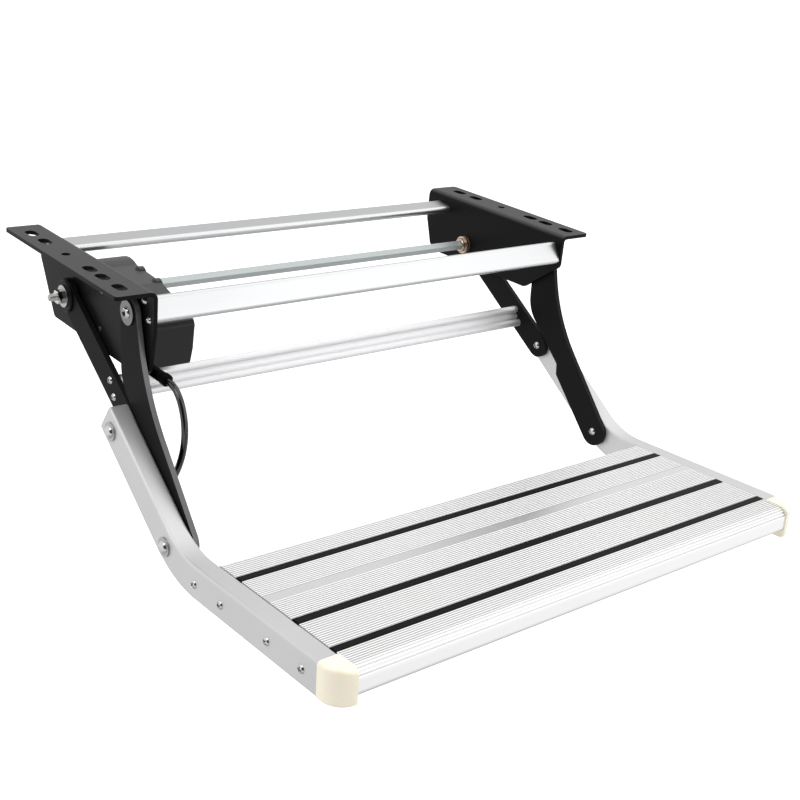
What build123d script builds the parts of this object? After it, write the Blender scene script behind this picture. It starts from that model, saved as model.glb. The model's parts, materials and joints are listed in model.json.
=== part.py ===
from build123d import *
import math
import os

os.makedirs("parts", exist_ok=True)

# Frame: X across the step, Y towards the vehicle, Z up, in mm.
# The origin lies midway between the two round locating holes, in the top plane of the flanges.

# Pivot centres in the side view, (y, z)
drive_pivot = (31.2, -54.0)
front_pivot = (-102.5, -29.6)
rear_joint = (-111.4, -143.9)
front_joint = (-219.7, -216.4)

# Layers across the width, from the inside of the right-hand web outwards
web_inner = 265.0
sheet = 4.0
arm_gap = 2.2
arm_thickness = 5.5
tube_gap = 0.7
tube_width = 20.6
flange_width = 42.5
hole_inset = 26.0

# Fits and clearances
press_fit = 0.03
running_gap = 0.05
screw_gap = 0.12
end_gap = 0.1

# Mounting flanges and their holes
right_front = -134.8
left_front = -138.5
flange_back = 109.6
flange_corner = 4.0
bend_radius = 7.5
right_depth = 77.5
left_depth = 92.0
right_round = 8.0
left_round = 6.0
slot_places = (80.0, 48.4, -52.6, -79.3, -113.3)
slot_length = 20.0
slot_width = 11.0
locating_radius = 4.5

# Fasteners: shank radius, head radius, head height
bar_screw = (2.0, 3.7, 2.6)
brace_screw = (1.95, 4.0, 2.4)
tread_screw = (2.3, 4.3, 2.1)
cover_screw = (1.5, 3.4, 2.2)
case_bolt = (1.5, 3.2, 1.6)
joint_bolt = (4.0, 6.4, 2.5)
joint_stud = (4.0, 4.6, 2.7)
pivot_pin = (5.0, 6.2, 2.6)
crown_share = 0.6
bar_screw_reach = 16.0
brace_screw_reach = 14.0
tread_screw_reach = 15.0
case_bolt_reach = 12.0
cover_screw_reach = 40.0

# Crossbars: one hollow extrusion with two screw ports
bar_width = 26.0
bar_thickness = 9.0
bar_corner = 3.9
bar_port_half = 9.35
bar_core_width = 10.5
bar_core_height = 5.4
port_radius = 2.05
front_bar = (-125.5, -21.5)
front_bar_lean = 28.0
rear_bar = (78.9, -16.3)
rear_bar_lean = 82.0

# Brace between the rear arms: two round beads round the screw ports, joined by a thin web
brace_centre = (-71.3, -118.4)
brace_lean = 27.5
brace_port_half = 8.45
brace_bead = 4.3
brace_web = 3.4
brace_ridge_width = 4.6
brace_ridge_height = 1.6

# Arms
rear_arm_width = 29.5
rear_arm_hub = 18.0
rear_arm_tip = 14.5
front_arm_hub = 16.0
front_arm_tip = 17.0
front_arm_sweep = 190.0
front_arm_heel = 40.0
front_arm_notch = 4.0
spacer_radius = 9.0
pivot_washer_radius = 12.3
pivot_washer_thickness = 1.5
pivot_flange_radius = 7.2
pivot_flange_thickness = 2.2
collar_radius = 9.3
collar_thickness = 1.8

# Drive shaft and what sits on it
shaft_side = 8.0
journal_radius = 4.0
journal_inset = 4.5
flat_width = 6.6
thread_radius = 3.45
thread_reach = 19.3
thread_chamfer = 1.0
bush_radius = 6.0
bush_flange_radius = 10.5
bush_flange_thickness = 1.5
shaft_collar_radius = 8.4
shaft_collar_flange = 10.8
shaft_collar_length = 5.5
hub_collar_radius = 17.0
hub_collar_thickness = 2.9
hub_collar_chamfer = 1.3
washer_radius = 11.5
washer_thickness = 1.6
nut_width = 13.0
nut_height = 6.5
nut_chamfer = 0.6
drive_hub_radius = 10.0

# Tread: slope of the board, its back top edge, and the section of the side tubes
tread_slope = 3.5
tread_edge = (-284.4, -210.0)
tube_height = 33.4
tube_wall = 2.5
tube_corner = 3.0
bore_corner = 1.2
tube_bend_radius = 100.0
tube_start = 14.6
tube_setback = 25.9
plug_thickness = 3.0
plug_round = 2.0
tongue_length = 9.0

# Tread board, along s from its back top edge forward and t square to it
board_front = 204.3
board_depth = 27.0
board_back = -17.5
board_step = 13.0
board_lip = (-3.0, -1.6)
board_round = 3.0
top_wall = 3.2
floor_wall = 2.0
cross_wall = 2.4
cell_back = -1.0
front_wall = 2.7
rib_pitch = 3.0
rib_round = 0.75
groove_width = 1.0
groove_depth = 0.8
nose_radius = 11.0
nose_foot = 6.0
nose_groove_count = 5
screw_line = -17.5
port_boss = 4.6
tread_screw_places = (-12.0, 32.8, 106.2, 156.7)
cross_wall_places = (32.8, 70.0, 106.2, 156.7, 186.0)
strip_bands = ((25.5, 35.0), (112.5, 122.8), (166.2, 175.3))
plain_band = (67.8, 79.8)
strip_depth = 2.0
strip_mouth = 0.6
strip_undercut = 1.0
strip_proud = 0.4

# Nose caps
cap_lead = 0.9
cap_proud = 0.6
cap_bottom_round = 7.0
cap_crease = 2.0
cap_edge_round = 3.6
cap_tongue = 18.0

# Motor cover and what it holds
cover_depth = 60.0
cover_wall = 2.5
cover_round = 33.5
cover_edge_round = 2.0
cover_corner = 4.0
tower_places = ((2.0, -27.6), (-33.0, -30.2))
tower_radius = 5.6
ear_length = 11.0
ear_taper = 4.0
ear_round = 1.0
shaft_hole = 7.5
case_gap = 0.7
case_front = -38.0
case_bolt_places = ((-29.5, -71.0), (54.0, -64.0))
motor_height = -68.5
motor_depth = 29.5
motor_radius = 19.0
motor_length = 54.0
motor_round = 2.5

# Ribbed boot on the cover's front wall, and the lead in the plane that it leaves by
lead_depth = 9.0
lead_radius = 3.4
boot_height = -87.6
boot_root = -96.5
boot_face = -101.8
boot_end = -142.5
boot_neck = 4.55
boot_flange_radius = 6.4
boot_flange_thickness = 3.2
boot_core = 4.6
boot_rib_radius = 5.6
boot_rib_count = 6
boot_rib_pitch = 5.2
boot_ring_radius = 6.2
boot_ring_length = 6.0
lead_route = (
    (-139.5, -87.6),
    (-155.0, -87.6),
    (-167.5, -97.0),
    (-175.5, -111.3),
    (-178.5, -128.0),
    (-176.5, -145.0),
    (-170.5, -162.0),
    (-161.5, -178.5),
    (-150.0, -194.0),
    (-136.0, -208.0),
    (-121.0, -219.5),
)
connector_length = 24.0
connector_width = 13.0
connector_height = 9.0
connector_round = 1.5
connector_wall = 1.3
connector_mouth = 8.0
connector_pin = 1.0
connector_pin_half = 2.6

# Places that follow from the sizes above
web_outer = web_inner + sheet
arm_inner = web_outer + arm_gap
arm_outer = arm_inner + arm_thickness
tube_inner = arm_outer + tube_gap
tube_outer = tube_inner + tube_width
flange_edge = web_inner + flange_width
hole_line = web_inner + hole_inset
journal_start = web_inner - journal_inset
cover_inner = -web_inner
cover_end = cover_inner + cover_depth
lead_plane = cover_inner + lead_depth
tube_front = board_front - tube_setback
cap_front = board_front + cap_lead
through = sheet + bend_radius


def outline(*points):
    return make_face(Polyline(*points, close=True))


def rounded(face, radius, *points):
    corners = [face.vertices().sort_by_distance((u, v, 0))[0] for u, v in points]
    return fillet(corners, radius)


def slab(face, x0, x1):
    return extrude(Plane.YZ.offset(x0) * face, amount=x1 - x0)


def rod(centre, radius, x0, x1):
    return slab(Pos(*centre) * Circle(radius), x0, x1)


def ring(centre, outer, inner, x0, x1):
    return slab(Pos(*centre) * (Circle(outer) - Circle(inner)), x0, x1)


def turned(centre, *steps):
    # steps are (x, radius) pairs along an axis parallel to X
    points = [(steps[0][0], 0), *steps, (steps[-1][0], 0)]
    return Pos(0, *centre) * revolve(outline(*points), axis=Axis.X)


def fastener(centre, size, seat, reach):
    # a crowned head outside the seat plane, and a shank that runs back from it
    shank, head, height = size
    crown = crown_share * height
    return turned(
        centre,
        (seat - reach, shank),
        (seat, shank),
        (seat, head),
        (seat + height - crown, head),
        (seat + height, head - crown),
    )


def mirrored(shape):
    return mirror(shape, about=Plane.YZ)


def pair(shape):
    return [shape, mirrored(shape)]


def save(name, *shapes):
    solids = [solid for shape in shapes for solid in shape.solids()]
    body = solids[0] if len(solids) == 1 else Compound(solids)
    export_step(body, "parts/" + name + ".step")


def along(centre, lean, distance):
    # a point in the side view, measured from centre along a line that leans back from upright
    angle = math.radians(lean)
    return (centre[0] + distance * math.sin(angle), centre[1] + distance * math.cos(angle))


def bar_plane(centre, lean, x0):
    # section plane of a bar across the step: its own x runs up the lean and its y forward
    up = along((0, 0), lean, 1)
    return Plane(origin=(x0, *centre), x_dir=(0, *up), z_dir=(1, 0, 0))


def both_ways(half):
    return (half, -half)


arm_angle = math.degrees(math.atan2(drive_pivot[1] - rear_joint[1], drive_pivot[0] - rear_joint[0]))
front_bar_ports = [along(front_bar, front_bar_lean, d) for d in both_ways(bar_port_half)]
rear_bar_ports = [along(rear_bar, rear_bar_lean, d) for d in both_ways(bar_port_half)]
bar_ports = front_bar_ports + rear_bar_ports
brace_ports = [along(brace_centre, brace_lean, d) for d in both_ways(brace_port_half)]

# Side brackets: folded sheet with the flange outwards
right_web = outline(
    (right_front, bend_radius),
    (right_front, -37),
    (-82.2, 1 - right_depth),
    (77.6, -right_depth),
    (98.5, 6 - right_depth),
    (flange_back, -38),
    (flange_back, bend_radius),
)
right_low = ((right_front, -37), (-82.2, 1 - right_depth), (98.5, 6 - right_depth))
right_web = rounded(right_web, right_round, *right_low)
left_web = outline(
    (left_front, bend_radius),
    (left_front, -37),
    (-130.8, 12 - left_depth),
    (-118, -left_depth),
    (78, -left_depth),
    (flange_back, -35),
    (flange_back, bend_radius),
)
left_low = ((-130.8, 12 - left_depth), (-118, -left_depth), (78, -left_depth))
left_web = rounded(left_web, left_round, *left_low)


def bracket(web, front):
    section = outline(
        (web_inner, -left_depth),
        (web_inner, 0),
        (flange_edge, 0),
        (flange_edge, -sheet),
        (web_outer, -sheet),
        (web_outer, -left_depth),
    )
    section = rounded(section, bend_radius, (web_inner, 0))
    section = rounded(section, bend_radius - sheet, (web_outer, -sheet))
    shape = extrude(Plane.XZ.offset(-flange_back) * section, amount=flange_back - front)
    shape = shape & slab(web, web_inner - through, flange_edge + through)
    shape = fillet(shape.edges().filter_by(Axis.Z).group_by(Axis.X)[-1], flange_corner)
    slot = Rot(0, 0, 90) * SlotOverall(slot_length, slot_width)
    for place in slot_places:
        shape -= extrude(Pos(hole_line, place, -through) * slot, amount=2 * through)
    shape -= extrude(Pos(hole_line, 0, -through) * Circle(locating_radius), amount=2 * through)
    holes = [(drive_pivot, bush_radius + press_fit), (front_pivot, pivot_pin[0] + press_fit)]
    holes += [(port, bar_screw[0] + screw_gap) for port in bar_ports]
    for place, radius in holes:
        shape -= rod(place, radius, web_inner - through, web_outer + through)
    return shape


right_bracket = bracket(right_web, right_front)
left_bracket = bracket(left_web, left_front)
for place in case_bolt_places + tower_places:
    left_bracket -= rod(place, case_bolt[0] + screw_gap, web_inner - through, web_outer + through)
save("right_bracket", right_bracket)
save("left_bracket", mirrored(left_bracket))

# Crossbars and their screws
bar_section = RectangleRounded(bar_width, bar_thickness, bar_corner)
bar_section -= RectangleRounded(bar_core_width, bar_core_height, bore_corner)
for d in both_ways(bar_port_half):
    bar_section -= Pos(d, 0) * Circle(port_radius)
front_bar_plane = bar_plane(front_bar, front_bar_lean, -web_inner)
rear_bar_plane = bar_plane(rear_bar, rear_bar_lean, -web_inner)
save("front_crossbar", extrude(front_bar_plane * bar_section, amount=2 * web_inner))
save("rear_crossbar", extrude(rear_bar_plane * bar_section, amount=2 * web_inner))
crossbar_screws = []
for port in bar_ports:
    crossbar_screws += pair(fastener(port, bar_screw, web_outer, sheet + bar_screw_reach))
save("crossbar_screws", *crossbar_screws)

# Rear arms, driven by the flats of the shaft
shaft_turn = Pos(*drive_pivot) * Rot(0, 0, arm_angle)
seat_width = flat_width + 2 * running_gap
seat = Circle(journal_radius + running_gap) & Rectangle(2 * bush_radius, seat_width)
seat_hole = shaft_turn * seat
arm_run = math.dist(drive_pivot, rear_joint)
arm_middle = ((drive_pivot[0] + rear_joint[0]) / 2, (drive_pivot[1] + rear_joint[1]) / 2)
rear_arm_face = Pos(*arm_middle) * Rot(0, 0, arm_angle) * Rectangle(arm_run, rear_arm_width)
rear_arm_face += Pos(*drive_pivot) * Circle(rear_arm_hub)
rear_arm_face += Pos(*rear_joint) * Circle(rear_arm_tip)
rear_arm_face -= seat_hole
rear_arm_face -= Pos(*rear_joint) * Circle(joint_bolt[0] + running_gap)
for port in brace_ports:
    rear_arm_face -= Pos(*port) * Circle(brace_screw[0] + screw_gap)
right_rear_arm, left_rear_arm = pair(slab(rear_arm_face, arm_inner, arm_outer))
save("right_rear_arm", right_rear_arm)
save("left_rear_arm", left_rear_arm)

# Brace between the rear arms
web_offset = brace_web / 2 - brace_bead
brace_section = Pos(0, web_offset) * Rectangle(2 * brace_port_half, brace_web)
ridge_offset = brace_web - brace_bead
brace_section += Pos(0, ridge_offset) * Rectangle(brace_ridge_width, 2 * brace_ridge_height)
for d in both_ways(brace_port_half):
    brace_section += Pos(d, 0) * Circle(brace_bead)
for d in both_ways(brace_port_half):
    brace_section -= Pos(d, 0) * Circle(port_radius)
brace_plane = bar_plane(brace_centre, brace_lean, -arm_inner)
save("rear_arm_brace", extrude(brace_plane * brace_section, amount=2 * arm_inner))
brace_screws = []
for port in brace_ports:
    brace_screws += pair(fastener(port, brace_screw, arm_outer, arm_thickness + brace_screw_reach))
save("brace_screws", *brace_screws)

# Drive shaft: square bar with turned journals, flats in the arms and threaded ends
collar_end = arm_outer + hub_collar_thickness
thread_end = arm_outer + thread_reach
flats = shaft_turn * (Circle(journal_radius) & Rectangle(2 * bush_radius, flat_width))
shaft_end = rod(drive_pivot, journal_radius, journal_start, arm_inner)
shaft_end += slab(flats, arm_inner, collar_end)
shaft_end += turned(
    drive_pivot,
    (collar_end, thread_radius),
    (thread_end - thread_chamfer, thread_radius),
    (thread_end, thread_radius - thread_chamfer),
)
shaft = slab(shaft_turn * Rectangle(shaft_side, shaft_side), -journal_start, journal_start)
for end in pair(shaft_end):
    shaft += end
save("drive_shaft", shaft)

bush = turned(
    drive_pivot,
    (web_inner - bush_flange_thickness, bush_flange_radius),
    (web_inner, bush_flange_radius),
    (web_inner, bush_radius),
    (arm_inner - end_gap, bush_radius),
)
bush -= rod(drive_pivot, journal_radius + running_gap, journal_start, arm_inner)
right_bush, left_bush = pair(bush)
save("right_shaft_bush", right_bush)
save("left_shaft_bush", left_bush)

square_side = shaft_side + 2 * running_gap
square_hole = shaft_turn * Rectangle(square_side, square_side)
collar_start = journal_start - shaft_collar_length
shaft_collar = turned(
    drive_pivot,
    (collar_start, shaft_collar_radius - thread_chamfer),
    (collar_start + thread_chamfer, shaft_collar_radius),
    (journal_start - thread_chamfer, shaft_collar_radius),
    (journal_start - thread_chamfer, shaft_collar_flange),
    (journal_start, shaft_collar_flange),
)
save("shaft_collar", shaft_collar - slab(square_hole, collar_start, journal_start))

hub_collar = turned(
    drive_pivot,
    (arm_outer, hub_collar_radius),
    (collar_end - hub_collar_chamfer, hub_collar_radius),
    (collar_end, hub_collar_radius - hub_collar_chamfer),
)
save("hub_collars", *pair(hub_collar - slab(seat_hole, arm_outer, collar_end)))
nut_start = collar_end + washer_thickness
nut_end = nut_start + nut_height
washer_hole = journal_radius + running_gap
save("shaft_washers", *pair(ring(drive_pivot, washer_radius, washer_hole, collar_end, nut_start)))
nut_corner = nut_width / math.sqrt(3)
nut_face = RegularPolygon(nut_corner, 6) - Circle(thread_radius + running_gap)
nut = slab(Pos(*drive_pivot) * nut_face, nut_start, nut_end)
nut = nut & turned(
    drive_pivot,
    (nut_start, nut_corner - nut_chamfer),
    (nut_start + nut_chamfer, nut_corner + nut_chamfer),
    (nut_end - nut_chamfer, nut_corner + nut_chamfer),
    (nut_end, nut_corner - nut_chamfer),
)
save("shaft_nuts", *pair(nut))

# Front arms on fixed pins
arm_bend = (-136.5, -100.2)
arm_heel = (-90.3, -103.0)
notch_low = (-149.5, -168.6)
notch_high = (-148.0, -155.5)
front_arm_face = outline(
    (front_pivot[0] - front_arm_hub, front_pivot[1]),
    arm_bend,
    (-232.0, -204.7),
    (-207.8, -228.5),
    notch_low,
    notch_high,
    arm_heel,
    (front_pivot[0] + front_arm_hub, front_pivot[1]),
)
front_arm_face = rounded(front_arm_face, front_arm_sweep, arm_bend)
front_arm_face = rounded(front_arm_face, front_arm_heel, arm_heel)
front_arm_face = rounded(front_arm_face, front_arm_notch, notch_low, notch_high)
front_arm_face += Pos(*front_pivot) * Circle(front_arm_hub)
front_arm_face += Pos(*front_joint) * Circle(front_arm_tip)
front_arm_face -= Pos(*front_pivot) * Circle(pivot_pin[0] + running_gap)
front_arm_face -= Pos(*front_joint) * Circle(joint_stud[0] + press_fit)
right_front_arm, left_front_arm = pair(slab(front_arm_face, arm_inner, arm_outer))
save("right_front_arm", right_front_arm)
save("left_front_arm", left_front_arm)

pin_hole = pivot_pin[0] + press_fit
spacer = ring(front_pivot, spacer_radius, pin_hole, web_outer, arm_inner - end_gap)
save("front_pivot_spacers", *pair(spacer))
washer_start = arm_outer + 2 * end_gap
washer_end = washer_start + pivot_washer_thickness
save("front_pivot_washers", *pair(ring(front_pivot, pivot_washer_radius, pin_hole, washer_start, washer_end)))
front_pin = fastener(front_pivot, pivot_pin, washer_end, washer_end - web_inner)
front_pin += turned(
    front_pivot,
    (web_inner - pivot_flange_thickness, pivot_pin[1]),
    (web_inner - pivot_flange_thickness + thread_chamfer, pivot_flange_radius),
    (web_inner, pivot_flange_radius),
)
save("front_pivot_pins", *pair(front_pin))

# Joints between arms and tread: a collared bolt outside, a domed head inside
bolt_seat = tube_outer + collar_thickness
inner_seat = arm_inner - end_gap
rear_bolt = fastener(rear_joint, joint_bolt, bolt_seat, bolt_seat - inner_seat)
rear_bolt += mirrored(fastener(rear_joint, joint_stud, -inner_seat, 0.5 * arm_thickness))
save("rear_joint_bolts", *pair(rear_bolt))
save("front_joint_studs", *pair(mirrored(fastener(front_joint, joint_stud, -arm_inner, arm_thickness))))
save("front_joint_bolts", *pair(fastener(front_joint, joint_bolt, bolt_seat, bolt_seat - tube_inner)))
collars = []
for joint in (rear_joint, front_joint):
    collars += pair(ring(joint, collar_radius, joint_bolt[0] + press_fit, tube_outer, bolt_seat))
save("joint_collars", *collars)

# Tread frame: s runs forward up the slope, t stands square to it
slope = math.radians(tread_slope)


def tread_point(s, t):
    y = tread_edge[0] - s * math.cos(slope) + t * math.sin(slope)
    z = tread_edge[1] + s * math.sin(slope) + t * math.cos(slope)
    return (y, z)


def tread_plane(x):
    forward = (0, -math.cos(slope), math.sin(slope))
    return Plane(origin=(x, *tread_edge), x_dir=forward, z_dir=(-1, 0, 0))


# Side tubes: rounded rectangular tube, bent once so that its front run is level with the board
tube_middle = (tube_inner + tube_outer) / 2
run = math.dist(rear_joint, front_joint)
down = ((front_joint[0] - rear_joint[0]) / run, (front_joint[1] - rear_joint[1]) / run)
tube_back = (rear_joint[0] - down[0] * tube_start, rear_joint[1] - down[1] * tube_start)
tube_tip = tread_point(tube_front, -tube_height / 2)
back_offset = rear_joint[0] - tread_edge[0]
joint_height = back_offset * math.sin(slope) + (rear_joint[1] - tread_edge[1]) * math.cos(slope)
fall = down[0] * math.sin(slope) + down[1] * math.cos(slope)
bend_run = -(tube_height / 2 + joint_height) / fall
tube_bend = (rear_joint[0] + down[0] * bend_run, rear_joint[1] + down[1] * bend_run)
tube_corners = [(tube_middle, *place) for place in (tube_back, tube_bend, tube_tip)]
tube_path = FilletPolyline(*tube_corners, radius=tube_bend_radius)
tube_end = Plane(origin=tube_corners[0], x_dir=(1, 0, 0), z_dir=(0, *down))
tube_outside = RectangleRounded(tube_width, tube_height, tube_corner)
bore_width = tube_width - 2 * tube_wall
bore_height = tube_height - 2 * tube_wall
tube_bore = RectangleRounded(bore_width, bore_height, bore_corner)
tongue = RectangleRounded(bore_width - end_gap, bore_height - end_gap, bore_corner)
tube = sweep(tube_end * (tube_outside - tube_bore), path=tube_path)
tread_screw_points = [tread_point(s, screw_line) for s in tread_screw_places]
tube_holes = [(point, tread_screw[0] + screw_gap) for point in tread_screw_points]
tube_holes += [(joint, joint_bolt[0] + press_fit) for joint in (rear_joint, front_joint)]
for place, radius in tube_holes:
    tube -= rod(place, radius, tube_inner - tube_wall, tube_outer + tube_wall)
right_tread_arm, left_tread_arm = pair(tube)
save("right_tread_arm", right_tread_arm)
save("left_tread_arm", left_tread_arm)

plug = extrude(tube_end * tube_outside, amount=-plug_thickness)
plug_face = plug.faces().sort_by(Axis((0, *tube_back), (0, *down)))[0]
plug = fillet(plug_face.edges(), plug_round)
plug += extrude(tube_end * tongue, amount=tongue_length)
save("tread_arm_plugs", *pair(plug))

# Tread board: hollow ribbed extrusion with a rolled nose and four screw ports
board_section = outline(
    (0, 0),
    (board_front, 0),
    (board_front, -board_depth),
    (board_back, -board_depth),
    (board_back, -board_step),
    board_lip,
)
board_section = rounded(board_section, nose_radius, (board_front, 0))
board_section = rounded(board_section, nose_foot, (board_front, -board_depth))
board_section = rounded(board_section, board_round, (board_back, -board_step), (board_back, -board_depth))
cell_stop = board_front - front_wall
cell_floor = floor_wall - board_depth
cell_starts = [cell_back] + [place + cross_wall / 2 for place in cross_wall_places]
cell_stops = [place - cross_wall / 2 for place in cross_wall_places] + [cell_stop]
for start, stop in zip(cell_starts, cell_stops):
    cell = outline((start, -top_wall), (stop, -top_wall), (stop, cell_floor), (start, cell_floor))
    if stop == cell_stop:
        cell = rounded(cell, nose_radius - top_wall, (stop, -top_wall))
        cell = rounded(cell, nose_foot - front_wall, (stop, cell_floor))
    board_section -= cell
for s in tread_screw_places:
    board_section += Pos(s, screw_line) * Circle(port_boss)
    board_section -= Pos(s, screw_line) * Circle(tread_screw[0] + running_gap)


def grooves(start, stop):
    count = round((stop - start) / rib_pitch)
    pitch = (stop - start) / count
    return [start + pitch * (n + 0.5) for n in range(count)]


rib_bands = (
    (0.0, strip_bands[0][0]),
    (strip_bands[0][1], plain_band[0]),
    (plain_band[1], strip_bands[1][0]),
    (strip_bands[1][1], strip_bands[2][0]),
    (strip_bands[2][1], board_front - nose_radius),
)
groove_half = groove_width / 2
mouth_half = groove_half + rib_round
groove = Pos(0, -groove_depth / 2) * Rectangle(groove_width, groove_depth)
groove += Rectangle(2 * mouth_half, 2 * rib_round)
for side in both_ways(mouth_half):
    groove -= Pos(side, -rib_round) * Circle(rib_round)
for start, stop in rib_bands:
    for s in grooves(start, stop):
        board_section -= Pos(s, 0) * groove
nose_step = math.degrees(rib_pitch / nose_radius)
for n in range(nose_groove_count):
    nose_turn = Pos(board_front - nose_radius, -nose_radius) * Rot(0, 0, -nose_step * (n + 0.5))
    board_section -= nose_turn * Pos(0, nose_radius) * groove
for start, stop in strip_bands:
    board_section -= outline(
        (start, strip_mouth),
        (stop, strip_mouth),
        (stop, -strip_mouth),
        (stop + strip_undercut, -strip_depth),
        (start - strip_undercut, -strip_depth),
        (start, -strip_mouth),
    )
save("tread_board", extrude(tread_plane(tube_inner) * board_section, amount=2 * tube_inner))

strip_names = ("rear_grip_strip", "middle_grip_strip", "front_grip_strip")
strip_half = tube_inner - 3 * end_gap
for name, (start, stop) in zip(strip_names, strip_bands):
    back = start + running_gap
    fore = stop - running_gap
    foot = strip_undercut - 2 * running_gap
    strip_section = outline(
        (back, -strip_mouth),
        (back, strip_proud - strip_mouth),
        (back + strip_mouth, strip_proud),
        (fore - strip_mouth, strip_proud),
        (fore, strip_proud - strip_mouth),
        (fore, -strip_mouth),
        (fore + foot, -strip_depth),
        (back - foot, -strip_depth),
    )
    save(name, extrude(tread_plane(strip_half) * strip_section, amount=2 * strip_half))

tread_screws = []
for point in tread_screw_points:
    tread_screws += pair(fastener(point, tread_screw, tube_outer, tube_width + tread_screw_reach))
save("tread_screws", *tread_screws)

# Nose caps: the tube section carried forward and rounded off
cap_top = cap_proud
cap_bottom = -tube_height - cap_proud
cap_outer = tube_outer + cap_proud
cap_width = cap_outer - tube_inner
cap_length = cap_front - tube_front
cap_tip = cap_front + cap_crease
cap_side = outline((tube_front, cap_top), (cap_tip, cap_top), (cap_tip, cap_bottom), (tube_front, cap_bottom))
cap_side = rounded(cap_side, nose_radius, (cap_tip, cap_top))
cap_side = rounded(cap_side, cap_bottom_round, (cap_tip, cap_bottom))
cap = extrude(tread_plane(cap_outer) * cap_side, amount=cap_width)
cap_sweep = cap_length - cap_width
cap_plan = Pos(tube_inner + cap_width / 2, cap_sweep / 2) * Rectangle(cap_width, cap_sweep)
cap_plan += Pos(tube_inner, cap_sweep) * Circle(cap_width)
drop = (0, -math.sin(slope), -math.cos(slope))
cap_base = Plane(origin=(0, *tread_point(tube_front, tube_height)), x_dir=(1, 0, 0), z_dir=drop)
cap = cap & extrude(cap_base * cap_plan, amount=3 * tube_height)
cap_walls = cap.faces().filter_by(lambda face: face.normal_at().X > 0.5)
rim_edges = cap.faces().filter_by(lambda face: abs(face.normal_at().Z) > 0.5).edges()
cap = fillet([edge for edge in cap_walls.edges() if edge in rim_edges], cap_edge_round)
backward = (0, math.cos(slope), -math.sin(slope))
cap_end = Plane(origin=(tube_middle, *tube_tip), x_dir=(1, 0, 0), z_dir=backward)
cap += extrude(cap_end * tongue, amount=cap_tongue)
right_nose_cap, left_nose_cap = pair(cap)
save("right_nose_cap", right_nose_cap)
save("left_nose_cap", left_nose_cap)

# Motor cover: moulded shell, open against the left web, with two screw towers
cover_face = outline(
    (17.5, -24.2),
    (-37.0, -27.5),
    (-55.8, -32.8),
    (-102.0, -45.6),
    (-105.0, -50.7),
    (-102.5, -77.0),
    (-97.8, -94.5),
    (30.0, -87.5),
    drive_pivot,
)
cover_face = rounded(cover_face, cover_corner, (-102.0, -45.6), (-105.0, -50.7), (-97.8, -94.5))
cover_face += Pos(*drive_pivot) * Circle(cover_round)
cover_shell = slab(cover_face, cover_inner, cover_end)
cover_shell = fillet(cover_shell.faces().sort_by(Axis.X)[-1].edges(), cover_edge_round)
cover_shell -= slab(offset(cover_face, -cover_wall), cover_inner, cover_end - cover_wall)
for place in tower_places:
    tower_face = (Pos(*place) * Circle(tower_radius)) & cover_face
    cover_shell += slab(tower_face, cover_inner, cover_end)
    ear_start = cover_end - ear_length
    cover_shell += turned(
        place,
        (ear_start, tower_radius - ear_taper),
        (ear_start + ear_taper, tower_radius),
        (cover_end - ear_round, tower_radius),
        (cover_end, tower_radius - ear_round),
    )
    cover_shell -= rod(place, cover_screw[0] + screw_gap, cover_inner, cover_end)
cover_shell -= rod(drive_pivot, shaft_hole, cover_end - 2 * cover_wall, cover_end)
boot_hole = Plane(origin=(lead_plane, boot_root + 2 * cover_wall, boot_height), z_dir=(0, -1, 0))
boot_bore_length = boot_root - boot_face + 4 * cover_wall
boot_bore = extrude(boot_hole * Circle(boot_neck + running_gap), amount=boot_bore_length)
save("motor_cover", cover_shell - boot_bore)

cover_screws = [fastener(place, cover_screw, cover_end, cover_screw_reach) for place in tower_places]
save("cover_screws", *cover_screws)

# Gear case with the worm and wheel sealed inside, its bolts, and the hub that turns the shaft
case_end = cover_end - cover_wall - 2 * cover_edge_round - case_gap
case_face = offset(cover_face, -cover_wall - case_gap)
case_limit = Pos(case_front + cover_depth, drive_pivot[1]) * Rectangle(2 * cover_depth, 2 * cover_depth)
gear_case = slab(case_face & case_limit, cover_inner, case_end)
for place in tower_places:
    gear_case -= rod(place, tower_radius + case_gap, cover_inner, case_end)
flange_room = cover_inner + bush_flange_thickness + case_gap
gear_case -= rod(drive_pivot, bush_flange_radius + case_gap, cover_inner, flange_room)
gear_case -= rod(drive_pivot, drive_hub_radius + running_gap, cover_inner, case_end)
for place in case_bolt_places:
    gear_case -= rod(place, case_bolt[0] + running_gap, cover_inner, cover_inner + case_bolt_reach + sheet)
save("gear_case", gear_case)
case_bolts = []
for place in case_bolt_places + tower_places:
    case_bolts.append(mirrored(fastener(place, case_bolt, web_outer, sheet + case_bolt_reach)))
save("gear_case_bolts", *case_bolts)

hub_start = cover_inner + journal_inset
hub_end = case_end - case_gap
drive_hub = rod(drive_pivot, drive_hub_radius, hub_start, hub_end)
save("drive_hub", drive_hub - slab(square_hole, hub_start, hub_end))

motor_base = Plane(origin=(cover_inner + motor_depth, case_front, motor_height), z_dir=(0, -1, 0))
motor_can = extrude(motor_base * Circle(motor_radius), amount=motor_length)
motor_can = fillet(motor_can.edges().sort_by(Axis.Y)[0], motor_round)
save("motor_can", motor_can)

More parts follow.
